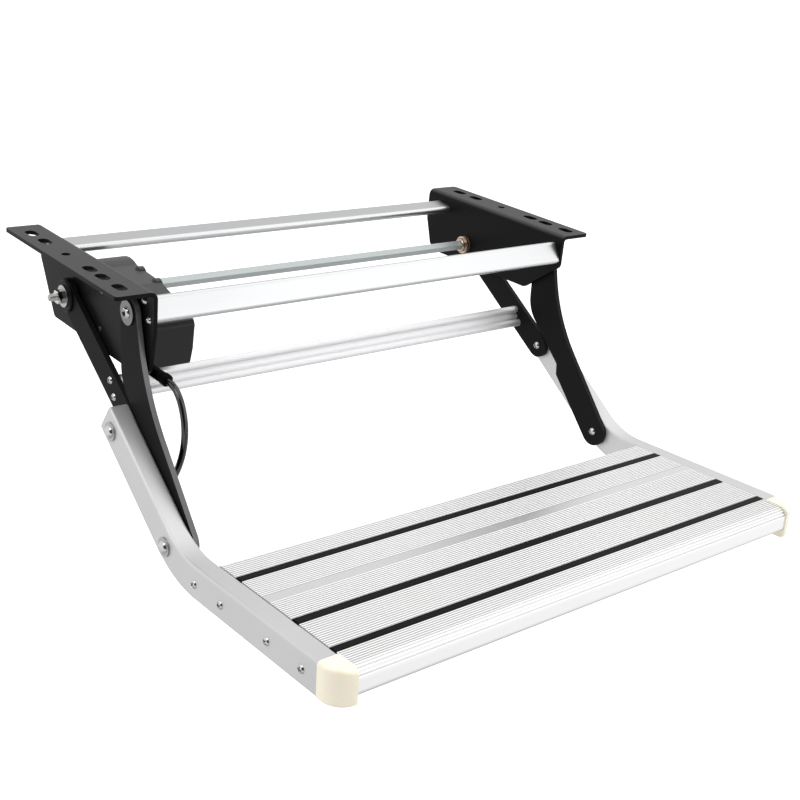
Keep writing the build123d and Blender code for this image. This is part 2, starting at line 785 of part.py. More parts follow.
# Boot: (y, radius) profile turned round the lead's axis, with a socket for the lead
rib_start = boot_face - boot_flange_thickness
ring_start = boot_end + boot_ring_length
boot_profile = [(boot_root, 0), (boot_root, boot_neck), (boot_face, boot_neck)]
boot_profile += [(boot_face, boot_flange_radius), (rib_start, boot_flange_radius)]
for n in range(boot_rib_count):
    y = rib_start - boot_rib_pitch * n
    crest = y - 0.5 * boot_rib_pitch
    edge = y - 0.8 * boot_rib_pitch
    boot_profile += [(y, boot_core), (crest, boot_rib_radius), (edge, boot_rib_radius)]
boot_profile += [(ring_start, boot_core), (ring_start, boot_ring_radius)]
boot_profile += [(boot_end, boot_ring_radius), (boot_end, 0)]
boot = revolve(outline(*boot_profile), axis=Axis.X)
boot_plane = Plane(origin=(lead_plane, 0, boot_height), x_dir=(0, 1, 0), z_dir=(1, 0, 0))
lead_points = [(lead_plane, y, z) for y, z in lead_route]
lead_start = Plane(origin=lead_points[0], z_dir=(0, -1, 0))
socket = extrude(lead_start * Circle(lead_radius + running_gap), amount=lead_route[0][0] - boot_end)
save("cable_boot", boot_plane * boot - socket)


def bend_radii(points):
    # each arc is as wide as its shorter run allows
    radii = []
    for before, corner, after in zip(points, points[1:], points[2:]):
        back = Vector(*before) - Vector(*corner)
        ahead = Vector(*after) - Vector(*corner)
        turn = math.radians(180 - back.get_angle(ahead))
        radii.append(0.45 * min(back.length, ahead.length) / math.tan(turn / 2))
    return radii


lead_path = FilletPolyline(*lead_points, radius=bend_radii(lead_points))
save("motor_lead", sweep(lead_start * Circle(lead_radius), path=lead_path))

# Connector on the end of the lead: an open shroud round two pins
tail = Vector(*lead_points[-1]) - Vector(*lead_points[-2])
connector_base = Plane(origin=lead_points[-1], x_dir=(1, 0, 0), z_dir=tail)
mouth_start = connector_length - connector_mouth
shroud = RectangleRounded(connector_width, connector_height, connector_round)
mouth = Rectangle(connector_width - 2 * connector_wall, connector_height - 2 * connector_wall)
connector = extrude(connector_base * shroud, amount=connector_length)
connector -= extrude(connector_base.offset(mouth_start) * mouth, amount=connector_mouth)
for side in both_ways(connector_pin_half):
    pin = connector_base.offset(mouth_start - connector_pin) * Pos(side, 0) * Circle(connector_pin)
    connector += extrude(pin, amount=connector_mouth)
save("lead_connector", connector)
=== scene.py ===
import json
import math

import bmesh
import bpy
from mathutils import Matrix, Vector


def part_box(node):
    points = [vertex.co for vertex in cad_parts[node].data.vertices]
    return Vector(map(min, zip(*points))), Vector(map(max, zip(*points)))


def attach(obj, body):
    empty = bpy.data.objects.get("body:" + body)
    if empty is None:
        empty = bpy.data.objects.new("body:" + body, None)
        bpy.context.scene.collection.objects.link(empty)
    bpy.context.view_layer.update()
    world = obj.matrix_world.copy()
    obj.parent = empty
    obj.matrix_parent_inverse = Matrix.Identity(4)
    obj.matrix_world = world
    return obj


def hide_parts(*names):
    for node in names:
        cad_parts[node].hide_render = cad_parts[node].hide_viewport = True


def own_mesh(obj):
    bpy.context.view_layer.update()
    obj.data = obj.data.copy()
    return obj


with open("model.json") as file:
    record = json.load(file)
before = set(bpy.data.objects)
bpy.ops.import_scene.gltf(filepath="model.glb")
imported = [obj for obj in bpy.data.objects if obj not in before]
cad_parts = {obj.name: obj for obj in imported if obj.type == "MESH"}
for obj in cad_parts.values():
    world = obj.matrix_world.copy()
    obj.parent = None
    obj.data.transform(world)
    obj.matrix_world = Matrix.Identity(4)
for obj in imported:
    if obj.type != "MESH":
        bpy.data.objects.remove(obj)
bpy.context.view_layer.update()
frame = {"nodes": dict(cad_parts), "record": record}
nodes = frame["nodes"]
scene = bpy.context.scene
print("frame loaded,", len(nodes), "nodes")

# Camera at the photograph's place and angle
view = {
    "place": (-0.80365, -1.12159, 0.36493),
    "heading": 40.533,
    "down": 22.209,
    "roll": 5.572,
    "lens": 56.82,
    "sensor": 36.0,
    "reach": 60.0,
}
cameraData = bpy.data.cameras.new("camera")
cameraData.lens = view["lens"]
cameraData.sensor_width = view["sensor"]
cameraData.clip_end = view["reach"]
camera = bpy.data.objects.new("camera", cameraData)
scene.collection.objects.link(camera)
turn = Matrix.Rotation(-math.radians(view["heading"]), 4, "Z")
tilt = Matrix.Rotation(math.radians(90.0 - view["down"]), 4, "X")
roll = Matrix.Rotation(math.radians(view["roll"]), 4, "Z")
camera.matrix_world = Matrix.Translation(view["place"]) @ turn @ tilt @ roll
scene.camera = camera
scene.view_settings.view_transform = "Standard"


class Value:
    # one shader value; arithmetic on it adds maths nodes to its tree
    def __init__(self, shading, socket):
        self.shading = shading
        self.socket = socket

    def maths(self, operation, first, second=0.0):
        return self.shading.node("Math", {"operation": operation}, {0: first, 1: second})

    def __add__(self, other):
        return self.maths("ADD", self, other)

    def __radd__(self, other):
        return self.maths("ADD", other, self)

    def __sub__(self, other):
        return self.maths("SUBTRACT", self, other)

    def __rsub__(self, other):
        return self.maths("SUBTRACT", other, self)

    def __mul__(self, other):
        return self.maths("MULTIPLY", self, other)

    def __rmul__(self, other):
        return self.maths("MULTIPLY", other, self)

    def __abs__(self):
        return self.maths("ABSOLUTE", self)

    def between(self, low, high):
        limits = {"From Min": low, "From Max": high, "Value": self}
        return self.shading.node("MapRange", {"interpolation_type": "SMOOTHSTEP"}, limits)


class Shading:
    # a node tree and helpers that add nodes to it
    def __init__(self, tree):
        self.tree = tree

    def node(self, kind, settings, inputs, output=0):
        made = self.tree.nodes.new("ShaderNode" + kind)
        for key, value in settings.items():
            setattr(made, key, value)
        for key, value in inputs.items():
            if isinstance(value, Value):
                self.tree.links.new(value.socket, made.inputs[key])
            else:
                made.inputs[key].default_value = value
        return Value(self, made.outputs[output])

    def blend(self, factor, first, second):
        # from one colour to another, each a plain triple or a value
        ends = [end if isinstance(end, Value) else (*end, 1.0) for end in (first, second)]
        return self.node("Mix", {"data_type": "RGBA"}, {0: factor, 6: ends[0], 7: ends[1]}, 2)

    def part(self, vector, axis):
        return self.node("SeparateXYZ", {}, {0: vector}, axis)


class Finish(Shading):
    # a material with one Principled shader
    def __init__(self, name, constants):
        self.material = bpy.data.materials.new(name)
        self.material.use_nodes = True
        super().__init__(self.material.node_tree)
        self.shader = self.tree.nodes["Principled BSDF"]
        for key, value in constants.items():
            self.shader.inputs[key].default_value = value

    def noise(self, scale, detail, roughness=0.5):
        # noise in object coordinates, with its own scale along each axis
        here = self.node("TexCoord", {}, {}, "Object")
        place = self.node("Mapping", {}, {"Vector": here, "Scale": scale})
        inputs = {"Vector": place, "Scale": 1.0, "Detail": detail, "Roughness": roughness}
        return self.node("TexNoise", {}, inputs)

    def facing(self, axis):
        # how squarely a surface faces along one axis of its piece, from -1 to 1
        return self.part(self.node("TexCoord", {}, {}, "Normal"), axis)

    def drive(self, name, value):
        self.tree.links.new(value.socket, self.shader.inputs[name])

    def relief(self, height, strength, depth, edge):
        # bump on top of softly rounded edges
        rounded = self.node("Bevel", {"samples": 6}, {"Radius": edge})
        inputs = {"Height": height, "Strength": strength, "Distance": depth, "Normal": rounded}
        self.drive("Normal", self.node("Bump", {}, inputs))


def show(name, data, sharp=35.0):
    # a mesh object with smooth faces, and sharp edges where they turn by more than the angle
    data.polygons.foreach_set("use_smooth", [True] * len(data.polygons))
    data.set_sharp_from_angle(angle=math.radians(sharp))
    made = bpy.data.objects.new(name, data)
    scene.collection.objects.link(made)
    return made


def meshOf(name, points, faces):
    data = bpy.data.meshes.new(name)
    data.from_pydata(points, [], faces)
    return data


def written(work, name):
    # a new mesh from edit data that is done with
    data = bpy.data.meshes.new(name)
    work.to_mesh(data)
    work.free()
    return data


def addCopy(work, data, place):
    copy = data.copy()
    copy.transform(place)
    work.from_mesh(copy)
    bpy.data.meshes.remove(copy)


def stitched(rings):
    # quads between rings of equal size, with the first and last ring filled
    points = [point for ring in rings for point in ring]
    count = len(rings[0])
    faces = []
    for level in range(len(rings) - 1):
        for step in range(count):
            here = level * count + step
            beside = level * count + (step + 1) % count
            faces.append((here, beside, beside + count, here + count))
    faces.append(tuple(range(count))[::-1])
    faces.append(tuple(range(len(points) - count, len(points))))
    return points, faces


def wear(piece, finish):
    piece.data.materials.clear()
    piece.data.materials.append(finish.material)


# Lead: a short pigtail out of the ribbed boot, hanging behind the left front arm
lead = {
    "x": -0.256,
    "route": (
        (-0.1395, -0.0876),
        (-0.1550, -0.0876),
        (-0.1675, -0.0970),
        (-0.1755, -0.1113),
        (-0.1785, -0.1280),
        (-0.1765, -0.1450),
        (-0.1705, -0.1620),
        (-0.1615, -0.1785),
        (-0.1500, -0.1940),
        (-0.1360, -0.2080),
        (-0.1210, -0.2195),
    ),
    "radius": 0.0034,
    "length": 0.175,
    "keep": 0.1,
    "smooth": 10,
    "round": 6,
}


def spline(name, points, radius=0.0):
    curve = bpy.data.curves.new(name, "CURVE")
    curve.dimensions = "3D"
    curve.resolution_u = lead["smooth"]
    curve.bevel_depth = radius
    curve.bevel_resolution = lead["round"]
    curve.use_fill_caps = True
    line = curve.splines.new("NURBS")
    line.points.add(len(points) - 1)
    for point, place in zip(line.points, points):
        point.co = (*place, 1.0)
    line.order_u = 3
    line.use_endpoint_u = True
    made = bpy.data.objects.new(name, curve)
    scene.collection.objects.link(made)
    bpy.context.view_layer.update()
    data = bpy.data.meshes.new_from_object(made)
    bpy.data.objects.remove(made)
    return data


leadPoints = [(lead["x"], y, z) for y, z in lead["route"]]
leadLine = [tuple(vertex.co) for vertex in spline("leadLine", leadPoints).vertices]
leadTube = show("leadTube", spline("leadTube", leadPoints, lead["radius"]))
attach(leadTube, "frame")
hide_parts("motor_lead")
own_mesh(leadTube)

# Two-way connector on the lead's end: shouldered shell with grip grooves, an open mouth and two pins.
# shell is the place along the axis and the share of the full section. pinTip is the distance from the
# tip of a pin and the radius there, both as shares of the pin's radius.
connector = {
    "half": (0.0065, 0.0045),
    "shell": (
        (0.0000, 0.56),
        (0.0006, 0.68),
        (0.0016, 0.84),
        (0.0030, 0.96),
        (0.0044, 1.00),
        (0.0064, 1.00),
        (0.0068, 0.93),
        (0.0078, 0.93),
        (0.0082, 1.00),
        (0.0096, 1.00),
        (0.0100, 0.93),
        (0.0110, 0.93),
        (0.0114, 1.00),
        (0.0128, 1.00),
        (0.0132, 0.93),
        (0.0142, 0.93),
        (0.0146, 1.00),
        (0.0238, 1.00),
        (0.0240, 0.97),
        (0.0240, 0.80),
        (0.0236, 0.76),
        (0.0160, 0.74),
    ),
    "squareness": 5.0,
    "squareFrom": 0.004,
    "steps": 48,
    "pinRadius": 0.0010,
    "pinOffset": 0.0026,
    "pinStart": 0.0155,
    "pinStop": 0.0232,
    "pinTip": ((1.0, 1.0), (0.3, 0.8), (0.0, 0.35)),
    "pinSteps": 20,
}
connectorAxis = (Vector(leadPoints[-1]) - Vector(leadPoints[-2])).normalized()
connectorUp = connectorAxis.cross(Vector((1.0, 0.0, 0.0)))


def onConnector(across, up, along):
    return Vector(leadPoints[-1]) + Vector((across, 0.0, 0.0)) + connectorUp * up + connectorAxis * along


def rim(share, along):
    # one superellipse section, squarer towards the mouth
    halfWidth, halfHeight = connector["half"]
    power = 2.0 / (2.0 + (connector["squareness"] - 2.0) * min(1.0, along / connector["squareFrom"]))
    ring = []
    for step in range(connector["steps"]):
        angle = 2.0 * math.pi * step / connector["steps"]
        across = math.copysign(abs(math.cos(angle)) ** power, math.cos(angle))
        up = math.copysign(abs(math.sin(angle)) ** power, math.sin(angle))
        ring.append(onConnector(across * share * halfWidth, up * share * halfHeight, along))
    return ring


def pinRings(side):
    # a round pin with a blunt tip
    radius = connector["pinRadius"]
    tip = [(connector["pinStop"] - back * radius, share) for back, share in connector["pinTip"]]
    rings = []
    for along, share in ((connector["pinStart"], 1.0), *tip):
        ring = []
        for step in range(connector["pinSteps"]):
            angle = 2.0 * math.pi * step / connector["pinSteps"]
            across = side * connector["pinOffset"] + share * radius * math.cos(angle)
            ring.append(onConnector(across, share * radius * math.sin(angle), along))
        rings.append(ring)
    return rings


shellRings = [rim(share, along) for along, share in connector["shell"]]
plugMesh = bmesh.new()
for rings in (shellRings, pinRings(1.0), pinRings(-1.0)):
    loft = meshOf("loft", *stitched(rings))
    plugMesh.from_mesh(loft)
    bpy.data.meshes.remove(loft)
bmesh.ops.recalc_face_normals(plugMesh, faces=plugMesh.faces)
leadPlug = show("leadPlug", written(plugMesh, "leadPlug"))
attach(leadPlug, "frame")
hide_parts("lead_connector")
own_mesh(leadPlug)
print("lead done")

# Finishes. grain and cloud are noise: scale along each axis, detail, and roughness if not 0.5.
# colours run from the first to the second over the cloud, or over the grain where there is no cloud.
# roughness is the least value and what the grain and cloud add. relief is the strength and depth of
# the grain's bump and the radius of the rounded edges.
looks = {
    # powder coat on the folded brackets
    "blackCoat": {
        "shader": {"IOR": 1.5, "Specular IOR Level": 0.06},
        "grain": ((1500.0, 1500.0, 1500.0), 3.0, 0.6),
        "cloud": ((14.0, 14.0, 14.0), 2.0),
        "colours": ((0.0060, 0.0060, 0.0066), (0.0085, 0.0084, 0.0090)),
        "paintedTopLight": (0.85, 0.3),
        "roughness": (0.30, 0.12, 0.06),
        "relief": (0.25, 0.0002, 0.0007),
    },
    # satin anodised extrusions, drawn along the width
    "drawnAluminium": {
        "shader": {"Metallic": 1.0},
        "grain": ((2.5, 1400.0, 1400.0), 3.0, 0.6),
        "cloud": ((9.0, 60.0, 60.0), 2.0),
        "streaks": ((0.56, 0.565, 0.57), (0.64, 0.645, 0.65)),
        "roughness": (0.28, 0.10, 0.05),
        "relief": (0.06, 0.0001, 0.0004),
    },
    # tread board: the same metal, with painted shade grey in the fine grooves and a painted highlight
    # bright on its ridges
    "treadAluminium": {
        "shader": {"Metallic": 1.0},
        "grain": ((2.0, 1600.0, 1600.0), 3.0, 0.6),
        "cloud": ((7.0, 40.0, 40.0), 2.0),
        "grooveShade": ((0.40, 0.395, 0.39), (0.83, 0.83, 0.83)),
        "roughness": (0.26, 0.10, 0.06),
        "relief": (0.05, 0.0001, 0.0002),
    },
    # brace: a duller mill finish on its round beads
    "millAluminium": {
        "shader": {"Metallic": 0.7},
        "grain": ((3.0, 900.0, 900.0), 3.0, 0.6),
        "colours": ((0.84, 0.84, 0.85), (0.91, 0.91, 0.92)),
        "roughness": (0.50, 0.12),
        "relief": (0.06, 0.0001, 0.0003),
    },
    # satin blasted and anodised side tubes
    "blastedAluminium": {
        "shader": {"Metallic": 0.6},
        "grain": ((2600.0, 2600.0, 2600.0), 2.0),
        "cloud": ((11.0, 11.0, 11.0), 3.0),
        "colours": ((0.605, 0.605, 0.605), (0.665, 0.665, 0.665)),
        "roughness": (0.44, 0.10),
        "relief": (0.10, 0.0001, 0.0006),
    },
    # bright zinc on fasteners
    "brightZinc": {
        "shader": {"Metallic": 1.0},
        "grain": ((700.0, 700.0, 700.0), 3.0),
        "cloud": ((90.0, 90.0, 90.0), 2.0),
        "colours": ((0.50, 0.51, 0.51), (0.64, 0.63, 0.61)),
        "roughness": (0.08, 0.07),
        "relief": (0.05, 0.0001, 0.0002),
    },
    # washers and collars: the same plate, tumbled dull
    "dullZinc": {
        "shader": {"Metallic": 1.0},
        "grain": ((900.0, 900.0, 900.0), 3.0),
        "colours": ((0.36, 0.36, 0.36), (0.48, 0.48, 0.47)),
        "roughness": (0.26, 0.14),
        "relief": (0.08, 0.0001, 0.0004),
    },
    # thrust collar on the shaft: the plate with a warm chromate tint
    "chromatedZinc": {
        "shader": {"Metallic": 1.0},
        "grain": ((900.0, 900.0, 900.0), 3.0),
        "colours": ((0.43, 0.355, 0.29), (0.58, 0.49, 0.41)),
        "roughness": (0.20, 0.14),
        "relief": (0.08, 0.0001, 0.0004),
    },
    # washers under the front pivots
    "phosphatedSteel": {
        "shader": {"Metallic": 1.0},
        "grain": ((900.0, 900.0, 900.0), 3.0),
        "colours": ((0.14, 0.14, 0.145), (0.22, 0.22, 0.22)),
        "roughness": (0.24, 0.14),
        "relief": (0.08, 0.0001, 0.0004),
    },
    # bolts of the gear case that sit in shade, painted black as painted shade
    "shadedBoltSteel": {
        "shader": {"Metallic": 1.0},
        "grain": ((900.0, 900.0, 900.0), 3.0),
        "colours": ((0.03, 0.03, 0.032), (0.06, 0.06, 0.062)),
        "roughness": (0.30, 0.20),
        "relief": (0.08, 0.0001, 0.0002),
    },
    # square shaft: cold-drawn bar under the same plate, with a cooler tint
    "drawnBar": {
        "shader": {"Metallic": 0.25},
        "grain": ((6.0, 900.0, 900.0), 3.0),
        "cloud": ((18.0, 200.0, 200.0), 2.0),
        "colours": ((0.43, 0.47, 0.47), (0.50, 0.54, 0.535)),
        "roughness": (0.30, 0.14),
        "relief": (0.08, 0.0001, 0.0003),
    },
    # shaft bushes
    "sinteredBronze": {
        "shader": {"Metallic": 1.0},
        "grain": ((1200.0, 1200.0, 1200.0), 3.0),
        "colours": ((0.48, 0.32, 0.21), (0.66, 0.48, 0.34)),
        "roughness": (0.30, 0.20),
        "relief": (0.10, 0.0001, 0.0003),
    },
    # gear case
    "castAlloy": {
        "shader": {"Metallic": 1.0},
        "grain": ((800.0, 800.0, 800.0), 4.0),
        "colours": ((0.40, 0.41, 0.42), (0.56, 0.57, 0.58)),
        "roughness": (0.45, 0.20),
        "relief": (0.30, 0.0003, 0.0005),
    },
    # motor cover and connector
    "mouldedPlastic": {
        "shader": {"IOR": 1.5, "Specular IOR Level": 0.34},
        "grain": ((1100.0, 1100.0, 1100.0), 3.0),
        "cloud": ((20.0, 20.0, 20.0), 2.0),
        "colours": ((0.0060, 0.0058, 0.0062), (0.0090, 0.0087, 0.0092)),
        "paintedTopLight": (0.9, 0.2),
        "roughness": (0.36, 0.14),
        "relief": (0.22, 0.0002, 0.0007),
    },
    # grip strips and boot
    "blackRubber": {
        "shader": {"IOR": 1.5, "Specular IOR Level": 0.06},
        "grain": ((900.0, 900.0, 900.0), 3.0),
        "cloud": ((4.0, 500.0, 500.0), 2.0),
        "colours": ((0.0030, 0.0030, 0.0034), (0.0055, 0.0055, 0.0060)),
        "roughness": (0.32, 0.16),
        "relief": (0.12, 0.0001, 0.0003),
    },
    # nose caps of milky plastic, with a weak painted glow that lightens them
    "ivoryPlastic": {
        "shader": {
            "IOR": 1.46,
            "Subsurface Weight": 0.35,
            "Subsurface Scale": 0.005,
            "Emission Color": (1.0, 0.93, 0.74, 1.0),
            "Emission Strength": 0.15,
        },
        "grain": ((600.0, 600.0, 600.0), 2.0),
        "cloud": ((40.0, 40.0, 40.0), 2.0),
        "colours": ((0.88, 0.82, 0.67), (0.93, 0.87, 0.73)),
        "roughness": (0.34, 0.12),
        "relief": (0.08, 0.0001, 0.0008),
    },
    # glossy sheath of the lead
    "leadSheath": {
        "shader": {"IOR": 1.52, "Specular IOR Level": 0.75},
        "grain": ((300.0, 300.0, 300.0), 2.0),
        "colours": ((0.003, 0.003, 0.0035), (0.006, 0.006, 0.0065)),
        "roughness": (0.07, 0.06),
        "relief": (0.05, 0.0001, 0.0002),
    },
}
# Black faces that look up are painted lighter, as painted light from above, patchy over the cloud: a
# look's paintedTopLight is its least share and what the cloud adds
paintedTopLight = {"colour": (0.062, 0.061, 0.061), "slope": (0.5, 0.95)}
# Painted shade in the tread's fine grooves, darker where less of the surroundings is open, and a painted
# highlight on the ridges
grooveShade = {"groove": 0.0016, "samples": 8, "clear": (0.45, 0.95), "least": 0.9, "grain": 0.2}


def paintedGrooveShade(made, grain):
    # painted shade: occlusion in the grooves darkens the colour
    settings = {"samples": grooveShade["samples"], "only_local": True}
    clear = made.node("AmbientOcclusion", settings, {"Distance": grooveShade["groove"]}, "AO")
    return clear.between(*grooveShade["clear"]) * (grooveShade["least"] + grooveShade["grain"] * grain)


def finished(name):
    look = looks[name]
    made = Finish(name, look["shader"])
    grain = made.noise(*look["grain"])
    cloud = made.noise(*look["cloud"]) if "cloud" in look else grain
    if "streaks" in look:
        colour = made.blend(grain, *look["streaks"])
    elif "grooveShade" in look:
        # the tread's colour carries painted shade in the grooves and a painted highlight on the ridges
        colour = made.blend(paintedGrooveShade(made, grain), *look["grooveShade"])
    else:
        colour = made.blend(cloud, *look["colours"])
    # painted light: faces that look up are lightened towards a grey
    if "paintedTopLight" in look:
        least, added = look["paintedTopLight"]
        paintedTopShare = made.facing("Z").between(*paintedTopLight["slope"]) * (least + added * cloud)
        colour = made.blend(paintedTopShare, colour, paintedTopLight["colour"])
    made.drive("Base Color", colour)
    least, *added = look["roughness"]
    rough = least + added[0] * grain
    if len(added) > 1:
        rough = rough + added[1] * cloud
    made.drive("Roughness", rough)
    made.relief(grain, *look["relief"])
    return made


# The coat on the flat arms, with a painted highlight on their cut edges: faint on most arms and strong on
# the left front arm, where it is a painted reflection of the tread. edges is their tone and least
# metallic share.
armLook = {
    "shader": {"IOR": 1.5, "Specular IOR Level": 0.03},
    "grain": ((1500.0, 1500.0, 1500.0), 3.0, 0.6),
    "cloud": ((14.0, 14.0, 14.0), 2.0),
    "flat": (0.0115, 0.0115, 0.012),
    "edges": {"armCoat": (0.02, 0.0), "edgeLitArmCoat": (0.16, 0.30)},
    "blue": 1.03,
    "side": (0.35, 0.85),
    "edgeMetalCloud": 0.20,
    "roughness": (0.42, 0.12),
    "smoother": 0.14,
    "relief": (0.25, 0.0002, 0.0006),
}


def armCoat(name):
    edgeLightTone, leastEdgeMetal = armLook["edges"][name]
    made = Finish(name, armLook["shader"])
    grain = made.noise(*armLook["grain"])
    cloud = made.noise(*armLook["cloud"])
    # edge masks the cut edges, which carry the painted highlight
    edge = 1.0 - abs(made.facing("X")).between(*armLook["side"])
    least, added = armLook["roughness"]
    # painted highlight: the cut edges are lighter than the flat faces
    made.drive("Base Color", made.blend(edge, armLook["flat"], (edgeLightTone, edgeLightTone, armLook["blue"] * edgeLightTone)))
    made.drive("Metallic", edge * (leastEdgeMetal + armLook["edgeMetalCloud"] * cloud))
    made.drive("Roughness", least + added * grain - armLook["smoother"] * edge)
    made.relief(grain, *armLook["relief"])
    return made


finishes = {name: finished(name) for name in looks}
finishes.update({name: armCoat(name) for name in armLook["edges"]})

# Finish of each material slot, and of the nodes that have one of their own
slotFinish = {
    "black_coat": "blackCoat",
    "anodised": "drawnAluminium",
    "zinc": "brightZinc",
    "bronze": "sinteredBronze",
    "cast_alloy": "castAlloy",
    "black_plastic": "mouldedPlastic",
    "black_rubber": "blackRubber",
    "ivory_plastic": "ivoryPlastic",
    "lead_sheath": "leadSheath",
}
ownFinish = {
    "left_tread_arm": "blastedAluminium",
    "right_tread_arm": "blastedAluminium",
    "tread_arm_plugs": "blastedAluminium",
    "tread_board": "treadAluminium",
    "rear_arm_brace": "millAluminium",
    "drive_shaft": "drawnBar",
    "joint_collars": "dullZinc",
    "front_pivot_washers": "phosphatedSteel",
    "shaft_washers": "dullZinc",
    "shaft_collar": "chromatedZinc",
    "left_rear_arm": "armCoat",
    "right_rear_arm": "armCoat",
    "left_front_arm": "edgeLitArmCoat",
    "right_front_arm": "armCoat",
}
slotOf = {part["node"]: part["material_slot"] for part in frame["record"]["subparts"]}
for node, slot in slotOf.items():
    wear(nodes[node], finishes[ownFinish.get(node, slotFinish[slot])])
wear(leadTube, finishes["leadSheath"])
wear(leadPlug, finishes["mouldedPlastic"])
print("materials done")


tiny = 1e-6  # points closer than this are one


def solids(node):
    # lowest and highest corner of each separate solid in a CAD node
    work = bmesh.new()
    work.from_mesh(nodes[node].data)
    bmesh.ops.remove_doubles(work, verts=work.verts, dist=tiny)
    waiting = set(work.verts)
    boxes = []
    while waiting:
        island = [waiting.pop()]
        for vertex in island:
            for link in vertex.link_edges:
                other = link.other_vert(vertex)
                if other in waiting:
                    waiting.remove(other)
                    island.append(other)
        sides = [sorted(vertex.co[axis] for vertex in island) for axis in range(3)]
        boxes.append((Vector([side[0] for side in sides]), Vector([side[-1] for side in sides])))
    work.free()
    return sorted(boxes, key=lambda box: tuple(box[0]))


# Heads of the fasteners. flank is the curved share of the height and bow its fullness, blunt the chamfer
# of a plain end, turn the angle from one fastener to the next, and sharp the angle of a sharp edge.
head = {
    "flank": 0.9,
    "bow": 1.7,
    "steps": 12,
    "round": 56,
    "blunt": 0.0004,
    "turn": 0.9,
    "sharp": 28.0,
}
# Driver recesses. above is where the cut starts, as a share of its depth. mouth and floor are its reach
# there, and arm the half width of a cross's slots, as shares of its radius.
recess = {"above": 0.3, "mouth": 1.12, "floor": 0.62, "arm": 0.27}
halfTurn = Matrix.Rotation(math.pi, 4, "Z")


def crown(radius, height, flat):
    # a head from the middle of its top out to its seat, as depth below the top and radius
    inner = flat * radius
    profile = [(0.0, 0.0)]
    for step in range(head["steps"] + 1):
        angle = math.pi / 2 * step / head["steps"]
        depth = head["flank"] * height * (1.0 - math.cos(angle) ** head["bow"])
        profile.append((depth, inner + (radius - inner) * math.sin(angle) ** head["bow"]))
    return profile + [(height, radius)]


def lathe(profile):
    # a closed mesh turned about X from (x, radius) pairs that start and end on the axis
    work = bmesh.new()
    line = [work.verts.new((x, 0.0, radius)) for x, radius in profile]
    links = [work.edges.new(ends) for ends in zip(line, line[1:])]
    turned = {"cent": (0, 0, 0), "axis": (1, 0, 0), "angle": 2.0 * math.pi, "steps": head["round"]}
    bmesh.ops.spin(work, geom=line + links, use_merge=True, **turned)
    bmesh.ops.remove_doubles(work, verts=work.verts, dist=tiny)
    bmesh.ops.recalc_face_normals(work, faces=work.faces)
    return written(work, "lathe")


def driverShape(kind, reach, arm):
    # corners of a hexagonal or cross recess
    if kind == "hex":
        turns = [math.pi / 3 * corner for corner in range(6)]
        return [(reach * math.cos(angle), reach * math.sin(angle)) for angle in turns]
    ring = []
    for c, s in ((1, 0), (0, 1), (-1, 0), (0, -1)):
        ring += [(c * y - s * z, s * y + c * z) for y, z in ((reach, -arm), (reach, arm), (arm, arm))]
    return ring


def recessed(data, kind, radius, depth, place):
    # the mesh with a driver recess cut into the end that faces along the place's own X
    rings = []
    for x, share in ((recess["above"] * depth, recess["mouth"]), (-depth, recess["floor"])):
        shape = driverShape(kind, share * radius, recess["arm"] * radius)
        rings.append([(x, y, z) for y, z in shape])
    cutter = show("cutter", meshOf("cutter", *stitched(rings)))
    work = bmesh.new()
    work.from_mesh(cutter.data)
    bmesh.ops.recalc_face_normals(work, faces=work.faces)
    work.to_mesh(cutter.data)
    work.free()
    cutter.matrix_world = place
    blank = show("blank", data)
    cut = blank.modifiers.new("recess", "BOOLEAN")
    cut.operation = "DIFFERENCE"
    cut.object = cutter
    bpy.context.view_layer.update()
    result = bpy.data.meshes.new_from_object(blank.evaluated_get(bpy.context.evaluated_depsgraph_get()))
    bpy.data.objects.remove(blank)
    bpy.data.objects.remove(cutter)
    return result


# Fasteners: crowned heads with driver recesses, each where its plain solid stands.
# outer is the head away from the middle of the step and inner the one towards it: radius, height,
# flat share of the radius. recess is its shape, the end that has it, its radius and depth.
fasteners = {
    "tread_screws": {
        "shank": 0.0023,
        "outer": (0.0043, 0.0021, 0.55),
        "recess": ("cross", "outer", 0.0029, 0.0020),
    },
    "brace_screws": {
        "shank": 0.00195,
        "outer": (0.0040, 0.0024, 0.48),
        "recess": ("cross", "outer", 0.0027, 0.0020),
    },
    "crossbar_screws": {
        "shank": 0.0020,
        "outer": (0.0037, 0.0026, 0.42),
        "recess": ("hex", "outer", 0.0016, 0.0014),
    },
    "cover_screws": {
        "shank": 0.0015,
        "inner": (0.0034, 0.0022, 0.30),
        "recess": ("cross", "inner", 0.0018, 0.0013),
    },
    "gear_case_bolts": {
        "shank": 0.0015,
        "outer": (0.0032, 0.0016, 0.40),
        "recess": ("hex", "outer", 0.0014, 0.0010),
    },
    "rear_joint_bolts": {
        "shank": 0.0040,
        "outer": (0.0064, 0.0025, 0.68),
        "inner": (0.0046, 0.0027, 0.50),
        "recess": ("cross", "inner", 0.0032, 0.0023),
    },
    "front_joint_bolts": {"shank": 0.0040, "outer": (0.0064, 0.0025, 0.68)},
    "front_pivot_pins": {
        "shank": 0.0050,
        "outer": (0.0062, 0.0026, 0.60),
        "inner": (0.0072, 0.0022, 0.70),
        "recess": ("hex", "outer", 0.0040, 0.0024),
    },
    "front_joint_studs": {
        "shank": 0.0040,
        "inner": (0.0046, 0.0027, 0.50),
        "recess": ("cross", "inner", 0.0032, 0.0023),
    },
}


